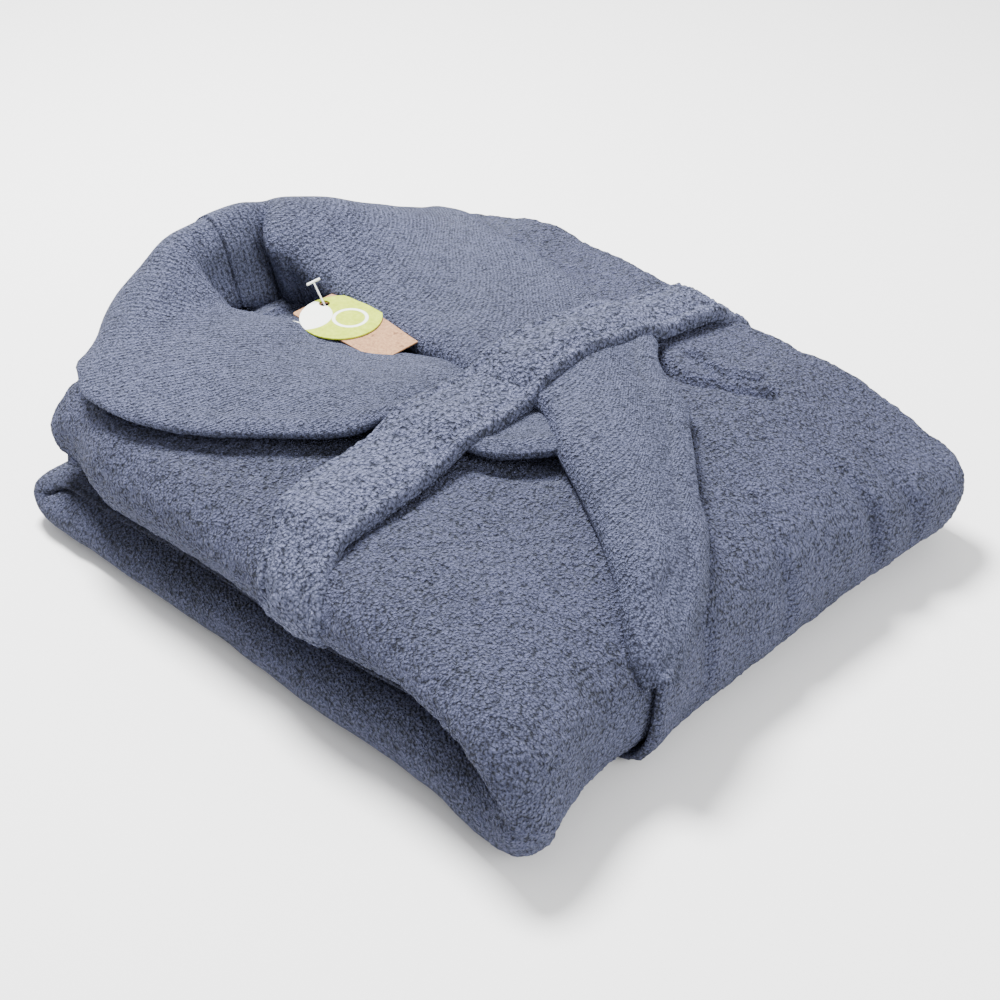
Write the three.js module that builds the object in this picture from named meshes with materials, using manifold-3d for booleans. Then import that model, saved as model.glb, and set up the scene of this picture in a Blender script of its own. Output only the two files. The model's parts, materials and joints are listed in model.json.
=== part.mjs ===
// Folded terry bathrobe with a shawl collar, a tie belt and two swing tags.
//
// The robe lies face up, folded to a pile: the sides and sleeves are turned behind the back,
// the skirt is turned up inside itself, and the whole is folded once more at the waist.
// Frame: millimetres, +Z up, origin on the surface that the pile rests on, under its centre.
// +X runs from the collar to the fold at the waist. +Y is the wearer's left.

import * as THREE from 'three';
import { mergeVertices } from 'three/addons/utils/BufferGeometryUtils.js';
import Module from 'manifold-3d';

// ---------------------------------------------------------------- driving dimensions

const pileWidth = 336;          // across the pile, along Y
const foldEndX = 186;           // outermost point of the fold at the waist
const skirtFoldX = -184;        // outermost point of the turned-up skirt
const shoulderX = -172;         // where the shoulders end, beside the collar
const foldRadius = 30;          // rounding of the waist fold, outside
const ply = 5.2;                // one layer of lofty terry
const clear = 0.4;              // clearance between pieces that lie on each other
const skirtSlack = 2.4;         // free space inside the tightest turn of the skirt
const hemX = 120;               // where the turned-up hem ends
const sideRollRadius = 12;      // rounding of the side edges
const gapUnderUpper = 12.8;     // height of the slot between the two bundles

const sleeveLeg = 10;           // flattened sleeve, both walls together
const sleeveSlack = 1.2;        // free space inside the elbow fold
const sleeveWidth = 138;
const sleeveInset = 8;          // from the middle of the back to a sleeve's inner edge
const elbowX = 150;
const sleeveEndX = -112;
const cuffLength = 62;
const cuffWall = 2.2;

const lapelLoft = 6.5;          // doubled cloth of the collar's lapels
const collarTop = 124;          // highest point of the collar roll at the back of the neck
const collarFallZ = 62;         // lower edge of the collar where it falls over the back
const seamY = -38;              // centre back seam of the collar
const lapelDrop = 38;           // how far the left lapel's tip hangs down the waist fold

const beltWidth = 56;
const beltThickness = 8;
const beltX = 20;               // middle of the belt
const beltFlatY = 128;          // the belt runs level over the lapels as far as this
const beltLoopPlay = 7;         // the belt can shift this far each way in its loops
const beltLoopStrip = 9;        // width of a belt loop's strip
const beltLoopThickness = 1.6;
const beltLoopY = 96;           // side seams, turned under the upper bundle

const pocketLength = 170;
const pocketWidth = 150;
const pocketLoft = 2.4;
const pocketX = 30;             // middle of a pocket, on the underside
const pocketGapY = 8;           // from the front edge to a pocket

const facingLoft = 2.5;
const loopStrip = 5;            // hanger loop: width of its strip
const loopThickness = 1.8;
const loopReach = 21;
const loopSpan = 44;
const loopX = -166;             // sewn ends of the hanger loop
const loopY = -44;

const labelLength = 12;
const labelWidth = 14;
const labelThickness = 0.8;
const labelX = -142;            // sewn edge of the size label
const labelY = -33;

const cardLength = 70;
const cardWidth = 36;
const cardThickness = 0.7;
const discRadius = 22.5;
const discThickness = 0.8;
const tagHoleRadius = 3.1;
const tagHoleX = -119;          // the pin passes both tags here
const tagHoleY = -10;
const cardEdge = 7;             // from the card's end to its hole
const discEdge = 5.3;           // from the disc's rim to its hole
const discTurn = -10;           // degrees from +X, from the disc's hole to its middle
const pinRadius = 0.5;
const pinTilt = 37;             // degrees back from upright
const pinBar = 9;               // length of the pin's cross bar
const pinAbove = 15;            // stem above the card, which the lifted tags slide up along

// Front edges of the robe in plan, from the neck to the waist fold. The left front lies
// over the right one, so its edge shows; the right front's edge runs on under it.
const leftEdge = [[-172, -8], [-120, -5], [-90, -2], [35, -2], [70, -18], [116, -42], [150, -58], [190, -74]];
const rightEdge = [[-172, -88], [-133, -58], [-100, -40], [-63, -27], [-35, -8], [190, 95]];

// Outer edges of the two lapels in plan.
const leftLapelEdge = [[-172, 105], [-100, 105], [-59, 102], [-16, 93], [34, 81], [61, 66], [95, 40],
  [127, 5], [155, -29], [180, -62], [190, -74]];
const rightLapelEdge = [[-172, -137], [-129, -130], [-92, -120], [-48, -97], [-14, -87], [20, -72],
  [55, -52], [88, -30]];

// Collar roll around the back of the neck, in plan: outside and inside.
const collarOutside = [[-108, -112], [-165, -118], [-194, -100], [-200, -40], [-195, 8], [-160, 48], [-130, 54]];
const collarInside = [[-130, -5], [-150, -6], [-169, -18], [-171, -60], [-158, -80], [-108, -46]];

// ---------------------------------------------------------------- levels, worked out

const step = ply + clear;
const halfWidth = pileWidth / 2;
const lowerTop = 6 * ply + 4 * clear + skirtSlack;
const upperBottom = lowerTop + gapUnderUpper;
const sleeveStack = 2 * sleeveLeg + sleeveSlack;
const pileTop = upperBottom + sleeveStack + 3 * step;
const doublePly = ply + step;
const backLevel = 2 * step;
const facingZ = pileTop - backLevel + clear;
const lapelTop = pileTop + clear + lapelLoft;
const middleZ = (lowerTop + upperBottom) / 2;
const tagZ = lapelTop + 0.3;
const discZ = tagZ + cardThickness + 0.3;
const far = 400;                // beyond every part of the robe

// ---------------------------------------------------------------- solids

const wasm = await Module();
wasm.setup();

function toSolid(geometry) {
  const bare = geometry.clone();
  bare.deleteAttribute('normal');
  bare.deleteAttribute('uv');
  const merged = mergeVertices(bare, 1e-3);
  const triangles = [];
  const index = merged.index.array;
  for (let i = 0; i < index.length; i += 3) {
    const [a, b, c] = index.slice(i, i + 3);
    if (a !== b && b !== c && c !== a) triangles.push(a, b, c);
  }
  return new wasm.Manifold(new wasm.Mesh({
    numProp: 3,
    vertProperties: new Float32Array(merged.attributes.position.array),
    triVerts: new Uint32Array(triangles),
  }));
}

function toGeometry(solid) {
  const mesh = solid.getMesh();
  const geometry = new THREE.BufferGeometry();
  geometry.setAttribute('position', new THREE.BufferAttribute(new Float32Array(mesh.vertProperties), 3));
  geometry.setIndex(new THREE.BufferAttribute(new Uint32Array(mesh.triVerts), 1));
  geometry.computeVertexNormals();
  return geometry;
}

function outline(points) {
  return new THREE.Shape(points.map(([a, b]) => new THREE.Vector2(a, b)));
}

function extrude(shape, depth, bevel = 0) {
  return new THREE.ExtrudeGeometry(shape, {
    depth,
    curveSegments: 5,
    bevelEnabled: bevel > 0,
    bevelSize: bevel,
    bevelOffset: -bevel,
    bevelThickness: bevel,
    bevelSegments: 2,
  });
}

// An outline in plan, raised from z0 to z1.
function raised(shape, z0, z1, bevel = 0) {
  return toSolid(extrude(shape, z1 - z0 - 2 * bevel, bevel).translate(0, 0, z0 + bevel));
}

// An outline in the YZ plane, run along X.
function alongX(shape, x0, x1) {
  const turn = new THREE.Matrix4().makeBasis(
    new THREE.Vector3(0, 1, 0), new THREE.Vector3(0, 0, 1), new THREE.Vector3(1, 0, 0));
  return toSolid(extrude(shape, x1 - x0).applyMatrix4(turn).translate(x0, 0, 0));
}

// An outline in the XZ plane, run along Y.
function alongY(shape, y0, y1) {
  const turn = new THREE.Matrix4().makeBasis(
    new THREE.Vector3(1, 0, 0), new THREE.Vector3(0, 0, 1), new THREE.Vector3(0, -1, 0));
  return toSolid(extrude(shape, y1 - y0).applyMatrix4(turn).translate(0, y1, 0));
}

function block([x0, y0, z0], [x1, y1, z1]) {
  const box = new THREE.BoxGeometry(x1 - x0, y1 - y0, z1 - z0);
  return toSolid(box.translate((x0 + x1) / 2, (y0 + y1) / 2, (z0 + z1) / 2));
}

function roundedRectangle(x0, y0, x1, y1, radius) {
  const shape = new THREE.Shape();
  shape.moveTo(x0 + radius, y0);
  shape.lineTo(x1 - radius, y0);
  shape.absarc(x1 - radius, y0 + radius, radius, -Math.PI / 2, 0, false);
  shape.lineTo(x1, y1 - radius);
  shape.absarc(x1 - radius, y1 - radius, radius, 0, Math.PI / 2, false);
  shape.lineTo(x0 + radius, y1);
  shape.absarc(x0 + radius, y1 - radius, radius, Math.PI / 2, Math.PI, false);
  shape.lineTo(x0, y0 + radius);
  shape.absarc(x0 + radius, y0 + radius, radius, Math.PI, Math.PI * 1.5, false);
  return shape;
}

// ---------------------------------------------------------------- folded layers

// Follows one face of a layer from the shoulder, round the waist fold, under the pile, round
// the skirt fold and back to the hem, at a depth below the pile's outer face.
function facePath(depth) {
  const path = new THREE.Path();
  const waist = foldRadius - depth;
  const skirt = lowerTop / 2 - depth;
  path.moveTo(shoulderX, pileTop - depth);
  path.lineTo(foldEndX - foldRadius, pileTop - depth);
  path.absarc(foldEndX - foldRadius, pileTop - foldRadius, waist, Math.PI / 2, 0, true);
  path.absarc(foldEndX - foldRadius, foldRadius, waist, 0, -Math.PI / 2, true);
  path.absarc(skirtFoldX + lowerTop / 2, lowerTop / 2, skirt, -Math.PI / 2, -Math.PI * 1.5, true);
  path.lineTo(hemX, lowerTop - depth);
  return path.getPoints(6);
}

// The whole folded layer between two depths, across a stretch of the width.
function layer(depth, thickness, y0 = -halfWidth, y1 = halfWidth) {
  const points = [...facePath(depth), ...facePath(depth + thickness).reverse()];
  return alongY(new THREE.Shape(points), y0, y1);
}

// The space to the left of a front edge. Above middleZ it follows the edge in plan, and round
// the waist fold and under the pile it keeps the edge's last place across the width.
function leftOf(edge, shift) {
  const moved = edge.map(([x, y]) => [x, y + shift]);
  const last = moved[moved.length - 1][1];
  const plan = outline([[-far, moved[0][1]], ...moved, [far, last], [far, far], [-far, far]]);
  return raised(plan, middleZ, far).add(block([-far, last, -far], [far, far, middleZ + 1]));
}

// The rounded side of a front, turned behind the upper bundle and round the lower one.
function sideRoll(side) {
  const space = layerSpace();
  const inner = halfWidth - doublePly;
  const roll = (z0, z1) => {
    const outside = roundedRectangle(0, z0, halfWidth, z1, sideRollRadius);
    return alongX(outside, shoulderX, foldEndX).subtract(block([-far, -far, -far], [far, inner, far]));
  };
  const both = roll(0, lowerTop).add(roll(upperBottom, pileTop)).intersect(space);
  return side > 0 ? both : both.mirror([0, 1, 0]);
}

// Everything inside the pile's outer face, from the side.
function layerSpace() {
  const upper = [[shoulderX, upperBottom], [shoulderX, pileTop]];
  const waist = facePath(0).filter((p) => p.x > foldEndX - foldRadius - 1).map((p) => [p.x, p.y]);
  const lower = outline([...upper, ...waist, [skirtFoldX + lowerTop / 2, 0], [skirtFoldX + lowerTop / 2, upperBottom]]);
  return alongY(lower, -far, far);
}

function frontLeft() {
  const single = layer(0, ply).intersect(leftOf(leftEdge, 0));
  const double = layer(0, doublePly).intersect(leftOf(rightEdge, clear)).intersect(leftOf(leftEdge, 0));
  const y0 = leftEdge[leftEdge.length - 1][1] + pocketGapY;
  return single.add(double).add(sideRoll(1)).intersect(roundedPile()).subtract(pocketRecess(y0));
}

function frontRight() {
  const beyond = leftOf(rightEdge, 0);
  const under = layer(step, ply).subtract(beyond);
  const double = layer(0, doublePly).subtract(leftOf(leftEdge, -clear)).subtract(beyond);
  return under.add(double).add(sideRoll(-1)).intersect(roundedPile())
    .subtract(pocketRecess(-halfWidth + pocketGapY + sideRollRadius, rightPocketWidth));
}

// The pile's outer form from its end, with its long edges rounded.
function roundedPile() {
  return alongX(roundedRectangle(-halfWidth, 0, halfWidth, pileTop, sideRollRadius), -far, far);
}

// ---------------------------------------------------------------- pockets

// The right pocket is the same cloth, partly covered by the left front where it overlaps.
const rightPocketWidth = halfWidth + leftEdge[leftEdge.length - 1][1] - 2 * pocketGapY - sideRollRadius;

function pocketRecess(y0, width = pocketWidth) {
  const x0 = pocketX - pocketLength / 2;
  return block([x0 - clear, y0 - clear, -1], [x0 + pocketLength + clear, y0 + width + clear, pocketLoft + clear]);
}

function pocket(y0, width = pocketWidth) {
  const x0 = pocketX - pocketLength / 2;
  return raised(roundedRectangle(x0, y0, x0 + pocketLength, y0 + width, 10), 0, pocketLoft);
}

// ---------------------------------------------------------------- back, sleeves, cuffs

function backPanel() {
  const inner = halfWidth - doublePly - clear;
  return layer(backLevel, ply, -inner, inner);
}

const sleeveTop = pileTop - 3 * step;
const sleeveBottom = sleeveTop - sleeveStack;
const lowerLegTop = sleeveBottom + sleeveLeg;

// A flattened sleeve: out along the back to the elbow fold and back to the wrist, where it
// narrows to pass into its cuff.
function sleeve(side) {
  const y0 = sleeveInset;
  const y1 = sleeveInset + sleeveWidth;
  const bendZ = (sleeveTop + sleeveBottom) / 2;
  const shape = new THREE.Shape();
  shape.moveTo(shoulderX, sleeveTop);
  shape.lineTo(elbowX, sleeveTop);
  shape.absarc(elbowX, bendZ, sleeveStack / 2, Math.PI / 2, -Math.PI / 2, true);
  shape.lineTo(sleeveEndX, sleeveBottom);
  shape.lineTo(sleeveEndX, lowerLegTop);
  shape.absarc(elbowX, bendZ, sleeveSlack / 2, -Math.PI / 2, Math.PI / 2, false);
  shape.lineTo(shoulderX, sleeveTop - sleeveLeg);
  const wall = cuffWall + clear;
  const bite = block([sleeveEndX - 1, -far, sleeveBottom - 1], [sleeveEndX + cuffLength, far, lowerLegTop + 0.2])
    .subtract(block([-far, y0 + wall, sleeveBottom + wall], [far, y1 - wall, lowerLegTop - wall]));
  const solid = alongY(shape, y0, y1).subtract(bite);
  return side > 0 ? solid : solid.mirror([0, 1, 0]);
}

function cuff(side) {
  const y0 = sleeveInset;
  const y1 = sleeveInset + sleeveWidth;
  const ring = outline([[y0, sleeveBottom], [y1, sleeveBottom], [y1, lowerLegTop], [y0, lowerLegTop]]);
  const w = cuffWall;
  ring.holes.push(outline([[y0 + w, sleeveBottom + w], [y1 - w, sleeveBottom + w],
    [y1 - w, lowerLegTop - w], [y0 + w, lowerLegTop - w]]));
  const solid = alongX(ring, sleeveEndX - 2, sleeveEndX + cuffLength - clear);
  return side > 0 ? solid : solid.mirror([0, 1, 0]);
}

// ---------------------------------------------------------------- collar

// The lapels' cloth, one doubled layer that lies on the fronts' outer face.
function lapelLayer() {
  const whole = layer(-clear - lapelLoft, lapelLoft);
  const onTop = block([shoulderX, -far, pileTop], [far, far, far]);
  const downFold = block([foldEndX - foldRadius, -far, pileTop - lapelDrop], [far, far, far]);
  return whole.intersect(onTop.add(downFold));
}

function collarRoll() {
  const ring = outline([...collarOutside, ...collarInside]);
  const slope = outline([[-far, 0], [-far, collarTop], [-166, collarTop], [-100, lapelTop], [-100, 0]]);
  const roll = raised(ring, pileTop + clear, collarTop, 5).intersect(alongY(slope, -far, far));
  const fall = raised(outline([[shoulderX - clear, -100], [-192, -98], [-198, -40], [-193, 6], [shoulderX - clear, 14]]),
    collarFallZ, pileTop + 12);
  return roll.add(fall);
}

function collarLeft() {
  const plan = raised(outline([...leftEdge, ...leftLapelEdge.slice(0, -1).reverse()]), 0, far);
  const leaf = lapelLayer().intersect(plan);
  return leaf.add(collarRoll()).intersect(leftOf([[-far, seamY + clear], [far, seamY + clear]], 0)
    .add(block([-100, -far, 0], [far, far, far])));
}

function collarRight() {
  const inside = rightEdge.filter(([x]) => x < -36);
  const cover = leftEdge.filter(([x]) => x > 0 && x < 80).map(([x, y]) => [x, y - clear]);
  const plan = raised(outline([...inside, [-29, -6], ...cover, ...rightLapelEdge.slice().reverse()]), 0, far);
  const leaf = lapelLayer().intersect(plan);
  return leaf.add(collarRoll().subtract(leftOf([[-far, seamY - clear], [far, seamY - clear]], 0)));
}

function neckFacing() {
  const plate = block([shoulderX + 3, -far, facingZ], [-34, far, facingZ + facingLoft]);
  return plate.intersect(leftOf(rightEdge, clear)).subtract(leftOf(leftEdge, -clear));
}

// ---------------------------------------------------------------- belt and its loops

const beltX0 = beltX - beltWidth / 2;
const beltInnerY = halfWidth + clear;
const beltInnerBottom = upperBottom - (gapUnderUpper - beltThickness) / 2;

// One face of the belt's ring round the upper bundle, grown outwards by a thickness.
function beltFace(grow) {
  const y = beltInnerY + grow;
  const top = lapelTop + clear + grow;
  const bottom = beltInnerBottom - grow;
  const r = 8 + grow;
  const shape = new THREE.Shape();
  shape.moveTo(-beltFlatY, top);
  shape.lineTo(beltFlatY, top);
  shape.lineTo(y - r, pileTop + clear + grow);
  shape.absarc(y - r, pileTop + clear + grow - r, r, Math.PI / 2, 0, true);
  shape.absarc(y - r / 2, bottom + r / 2, r / 2, 0, -Math.PI / 2, true);
  shape.absarc(-y + r / 2, bottom + r / 2, r / 2, -Math.PI / 2, -Math.PI, true);
  shape.absarc(-y + r, pileTop + clear + grow - r, r, Math.PI, Math.PI / 2, true);
  return shape;
}

function belt() {
  return alongX(beltFace(beltThickness), beltX0, beltX0 + beltWidth)
    .subtract(alongX(beltFace(0), beltX0 - 1, beltX0 + beltWidth + 1));
}

function beltLoop(side) {
  const x0 = beltX0 - beltLoopPlay;
  const x1 = beltX0 + beltWidth + beltLoopPlay;
  const z0 = lowerTop + 0.3;
  const z1 = upperBottom - 0.3;
  const t = beltLoopThickness;
  const ring = roundedRectangle(x0 - t, z0, x1 + t, z1, 3);
  ring.holes.push(roundedRectangle(x0, z0 + t, x1, z1 - t, 1.5));
  const y = side * beltLoopY;
  return alongY(ring, y - beltLoopStrip / 2, y + beltLoopStrip / 2);
}

// ---------------------------------------------------------------- loop, label and tags

const trimZ = facingZ + facingLoft + 0.3;

function hangerLoop() {
  const y0 = loopY - loopSpan / 2;
  const y1 = loopY + loopSpan / 2;
  const x1 = loopX + loopReach;
  const strip = loopStrip;
  const staple = outline([[loopX, y0], [x1 - 4, y0], [x1, y0 + 4], [x1, y1 - 4], [x1 - 4, y1], [loopX, y1],
    [loopX, y1 - strip], [x1 - strip, y1 - strip], [x1 - strip, y0 + strip], [loopX, y0 + strip]]);
  return raised(staple, trimZ, trimZ + loopThickness);
}

function sizeLabel() {
  const shape = roundedRectangle(labelX, labelY - labelWidth / 2, labelX + labelLength, labelY + labelWidth / 2, 0.8);
  return raised(shape, trimZ, trimZ + labelThickness);
}

// Where the leaning pin passes a height, along X.
function pinX(z) {
  return tagHoleX - (z - tagZ) * Math.tan(THREE.MathUtils.degToRad(pinTilt));
}

function tagHole(z) {
  const hole = new THREE.CylinderGeometry(tagHoleRadius, tagHoleRadius, 10, 16);
  return toSolid(hole.rotateX(Math.PI / 2).translate(pinX(z), tagHoleY, z));
}

function hangTag() {
  const x0 = tagHoleX - cardEdge;
  const shape = roundedRectangle(x0, tagHoleY - cardWidth / 2, x0 + cardLength, tagHoleY + cardWidth / 2, 2);
  return raised(shape, tagZ, tagZ + cardThickness).subtract(tagHole(tagZ));
}

function roundTag() {
  const reach = discRadius - discEdge;
  const turn = THREE.MathUtils.degToRad(discTurn);
  const holeX = pinX(discZ);
  const disc = new THREE.CylinderGeometry(discRadius, discRadius, discThickness, 40).rotateX(Math.PI / 2);
  disc.translate(holeX + reach * Math.cos(turn), tagHoleY + reach * Math.sin(turn), discZ + discThickness / 2);
  return toSolid(disc).subtract(tagHole(discZ));
}

// A plastic pin leans back through both tags, with a cross bar above them and its foot at
// the neck facing.
function tagPin() {
  const tilt = THREE.MathUtils.degToRad(pinTilt);
  const below = (tagZ - trimZ - pinRadius) / Math.cos(tilt);
  const stem = new THREE.CylinderGeometry(pinRadius, pinRadius, below + pinAbove, 8);
  stem.translate(0, (pinAbove - below) / 2, 0).rotateX(Math.PI / 2);
  const bar = new THREE.CylinderGeometry(pinRadius * 1.4, pinRadius * 1.4, pinBar, 8);
  bar.translate(0, 0, pinAbove);
  const pin = toSolid(stem).add(toSolid(bar));
  return pin.rotate([0, -pinTilt, 0]).translate([tagHoleX, tagHoleY, tagZ]);
}

// ---------------------------------------------------------------- assembly

const terry = { color: 0x6f7791, roughness: 0.95, metalness: 0 };
const shade = { color: 0x5d6580, roughness: 0.95, metalness: 0 };
const tape = { color: 0x535b75, roughness: 0.85, metalness: 0 };
const woven = { color: 0xf2f2ee, roughness: 0.7, metalness: 0 };
const kraft = { color: 0xb5927a, roughness: 0.9, metalness: 0 };
const lime = { color: 0xc6d23c, roughness: 0.45, metalness: 0 };
const nylon = { color: 0xe8eaec, roughness: 0.35, metalness: 0 };

const robe = new THREE.Group();

function addPiece(name, solid, finish) {
  const mesh = new THREE.Mesh(toGeometry(solid), new THREE.MeshStandardMaterial(finish));
  mesh.name = name;
  robe.add(mesh);
}

const leftPocketY = leftEdge[leftEdge.length - 1][1] + pocketGapY;

addPiece('back_panel', backPanel(), shade);
addPiece('front_left', frontLeft(), terry);
addPiece('front_right', frontRight(), terry);
addPiece('neck_facing', neckFacing(), tape);
addPiece('collar_left', collarLeft(), terry);
addPiece('collar_right', collarRight(), terry);
for (const [name, side] of [['left', 1], ['right', -1]]) {
  addPiece(`sleeve_${name}`, sleeve(side), shade);
  addPiece(`cuff_${name}`, cuff(side), terry);
  addPiece(`belt_loop_${name}`, beltLoop(side), tape);
}
addPiece('pocket_left', pocket(leftPocketY), terry);
addPiece('pocket_right', pocket(-halfWidth + pocketGapY + sideRollRadius, rightPocketWidth), terry);
addPiece('belt', belt(), terry);
addPiece('hanger_loop', hangerLoop(), tape);
addPiece('size_label', sizeLabel(), woven);
addPiece('hang_tag', hangTag(), kraft);
addPiece('round_tag', roundTag(), lime);
addPiece('tag_pin', tagPin(), nylon);

export default robe;
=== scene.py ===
import json
import math

import bpy
import numpy as np
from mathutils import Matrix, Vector
from mathutils.bvhtree import BVHTree


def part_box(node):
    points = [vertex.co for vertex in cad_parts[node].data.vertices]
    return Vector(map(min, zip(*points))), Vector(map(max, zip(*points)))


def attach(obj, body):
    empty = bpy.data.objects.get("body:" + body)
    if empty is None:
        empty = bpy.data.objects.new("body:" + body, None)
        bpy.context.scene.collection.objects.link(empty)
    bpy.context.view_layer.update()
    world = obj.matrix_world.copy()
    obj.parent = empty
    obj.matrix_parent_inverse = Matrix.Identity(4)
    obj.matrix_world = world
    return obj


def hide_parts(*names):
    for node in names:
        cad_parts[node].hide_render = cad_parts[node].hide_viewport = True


# Folded terry bathrobe: millimetres in the shape functions, metres in the meshes.
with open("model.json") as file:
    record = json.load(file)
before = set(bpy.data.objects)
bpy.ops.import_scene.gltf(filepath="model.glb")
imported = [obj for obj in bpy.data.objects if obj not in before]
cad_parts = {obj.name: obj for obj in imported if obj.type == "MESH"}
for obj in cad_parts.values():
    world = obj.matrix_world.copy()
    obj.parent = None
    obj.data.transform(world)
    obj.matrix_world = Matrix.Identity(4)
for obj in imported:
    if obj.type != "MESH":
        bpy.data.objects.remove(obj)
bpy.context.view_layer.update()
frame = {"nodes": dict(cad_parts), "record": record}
MM = 0.001
FINE = 1.6       # grid step of the cloth that shows
COARSE = 9.0                            # and of the cloth that doesn't

# ---------------------------------------------------------------- driving dimensions

PLY = 5.0                # front cloth, one lofty layer
COLLAR_PLY = 6.0         # doubled cloth of the collar
BELT_THICK = 10.0
HALF_FLAT = 150.0        # the sides start to roll under here
SIDE_ROLL = 20.0         # how far the rolled sides stand out
TUCK_Z = 35.5            # the belt's lower face inside the slot
LIP = 30.0               # cloth of the rolled side that goes on into the slot
MIDDLE = 37.5            # level of the slot between the two bundles
TOP = 92.0               # level of the upper bundle
LABEL_SHIFT = np.array([0.0, 7.0, 0.0])     # the sewn label sits to the side of its CAD solid
RIB_STEP = 3.3           # from one row of loops to the next
POCKET_RISE = 2.6        # the underside is pressed in over the pockets
SEATED = 0.4             # a hem's lower corner is rounded less than its upper one
REACH = 30.0             # a lapel further than this from the fronts hangs free of them

# Round the pile, from the shoulder over the top, the waist fold and the underside, then round the
# turned-up skirt and back to the hem: outer x, z, inner x, z, edge of the left and right front (y).
ROUND = [
    (-148, 56, -144, 50, -8, -88), (-170, 60, -156, 49, -8, -88), (-182, 74, -160, 47, -8, -90),
    (-172, 88, -152, 45, 2, -88), (-145, 92, -140, 44, 12, -66), (-110, 92, -110, 44, 15, -46),
    (-60, 91, -60, 44, 13, -24), (-30, 91, -30, 44, 3, -8), (0, 91, 0, 44, -2, 30),
    (35, 91, 35, 44, 3, 60), (80, 90, 80, 44, -20, 70), (120, 87, 114, 43.5, -44, 72),
    (155, 79, 143, 42.5, -64, 72), (176, 62, 152, 40, -78, 70), (183, 40, 156, 37, -84, 70),
    (181, 18, 155, 34, -86, 70), (170, 4, 148, 31.5, -87, 70), (148, 0.6, 130, 31, -87, 70),
    (60, 0.6, 60, 31, -87, 70), (-60, 0.6, -60, 31, -87, 70), (-140, 0.6, -140, 30, -87, 70),
    (-172, 4, -160, 28, -87, 70), (-184, 16, -164, 26, -87, 70), (-180, 30, -162, 27, -87, 70),
    (-160, 35, -150, 31, -87, 70), (-60, 35, -60, 32, -87, 70), (60, 35, 60, 32, -87, 70),
    (118, 34, 118, 32, -87, 70),
]
SHOWN_TO = 16.5                         # ROUND shows from its first knot to here
UNDER_FROM = 17                         # rows from this knot on lie under the pile or inside it
TURN_FROM, TURN_TO = 20.0, 24.0         # the turned-up end

# ---------------------------------------------------------------- number helpers


def ramp(x, a, b):
    """Smooth step of x from 0 at a to 1 at b."""
    t = np.clip((x - a) / (b - a), 0.0, 1.0)
    return t * t * (3 - 2 * t)


def mix(a, b, t):
    return a + (b - a) * t


def noise(p, size, seed):
    """Smooth seeded noise from -1 to 1 of points p, in lumps about size across."""
    q = np.asarray(p, float) / size + seed * 17.31
    cell = np.floor(q).astype(np.int64)
    f = q - cell
    f = f * f * (3 - 2 * f)
    total = np.zeros(q.shape[:-1])
    for corner in range(8):
        step = np.array([corner & 1, corner >> 1 & 1, corner >> 2 & 1])
        n = cell + step
        h = (n[..., 0] * 73856093) ^ (n[..., 1] * 19349663) ^ (n[..., 2] * 83492791)
        h = (h ^ (h >> 13)) * 1274126177 & 0x7FFFFFFF
        value = (h ^ (h >> 15)) % 65536 / 32767.5 - 1.0
        weight = np.where(step == 1, f, 1 - f).prod(axis=-1)
        total += value * weight
    return total


def curve(knots, t):
    """Catmull-Rom curve through knots, at t counted in knots."""
    knots = np.asarray(knots, float)
    last = len(knots) - 1
    t = np.clip(np.asarray(t, float), 0, last)
    i = np.minimum(t.astype(int), last - 1)
    f = (t - i).reshape(t.shape + (1,) * (knots.ndim - 1))
    a, b = knots[np.maximum(i - 1, 0)], knots[i]
    c, d = knots[i + 1], knots[np.minimum(i + 2, last)]
    return 0.5 * (2 * b + (c - a) * f + (2 * a - 5 * b + 4 * c - d) * f ** 2
                  + (3 * b - a - 3 * c + d) * f ** 3)


def even(knots, step, first=0.0, last=None):
    """Values of t at even steps along a curve through knots."""
    last = len(knots) - 1 if last is None else last
    t = np.linspace(first, last, 40 * int(math.ceil(last - first)) + 1)
    points = curve(knots, t)
    if points.ndim > 2:
        points = points.mean(axis=1)
    run = np.append(0, np.cumsum(np.linalg.norm(np.diff(points, axis=0), axis=-1)))
    count = max(3, int(run[-1] / step) + 1)
    return np.interp(np.linspace(0, run[-1], count), run, t)


def odd(values):
    """The same values with one more in the middle if their number is even."""
    if len(values) % 2:
        return values
    k = len(values) // 2
    return np.insert(values, k, (values[k - 1] + values[k]) / 2)


def unit(v):
    return v / np.maximum(np.linalg.norm(v, axis=-1, keepdims=True), 1e-9)


def normals(p):
    return unit(np.cross(np.gradient(p, axis=0), np.gradient(p, axis=1)))


def blur(values, times, axes=(0, 1)):
    """Averages a grid with its neighbours, the ends kept."""
    for _ in range(times):
        for axis in axes:
            v = np.moveaxis(values, axis, 0)
            v = np.concatenate([v[:1], (v[:-2] + 2 * v[1:-1] + v[2:]) / 4, v[-1:]])
            values = np.moveaxis(v, 0, axis)
    return values


def from_edge(p):
    """Distances of a grid's points from its four edges: first row, last row, first and last column."""
    along = np.linalg.norm(np.diff(p, axis=0), axis=-1)
    across = np.linalg.norm(np.diff(p, axis=1), axis=-1)
    a = np.concatenate([np.zeros((1, p.shape[1])), np.cumsum(along, axis=0)])
    b = np.concatenate([np.zeros((p.shape[0], 1)), np.cumsum(across, axis=1)], axis=1)
    return a, a[-1:] - a, b, b[:, -1:] - b


# ---------------------------------------------------------------- cloth


def pile_height(p, seed, loops=1.0):
    """Terry loops as a height over the cloth, in mm."""
    rng = np.random.default_rng(seed)
    tuft = noise(p, 2.8, seed) * 0.5 + noise(p, 5.5, seed + 1) * 0.42
    return loops * (tuft + rng.uniform(-0.3, 0.3, p.shape[:-1]))


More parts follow.
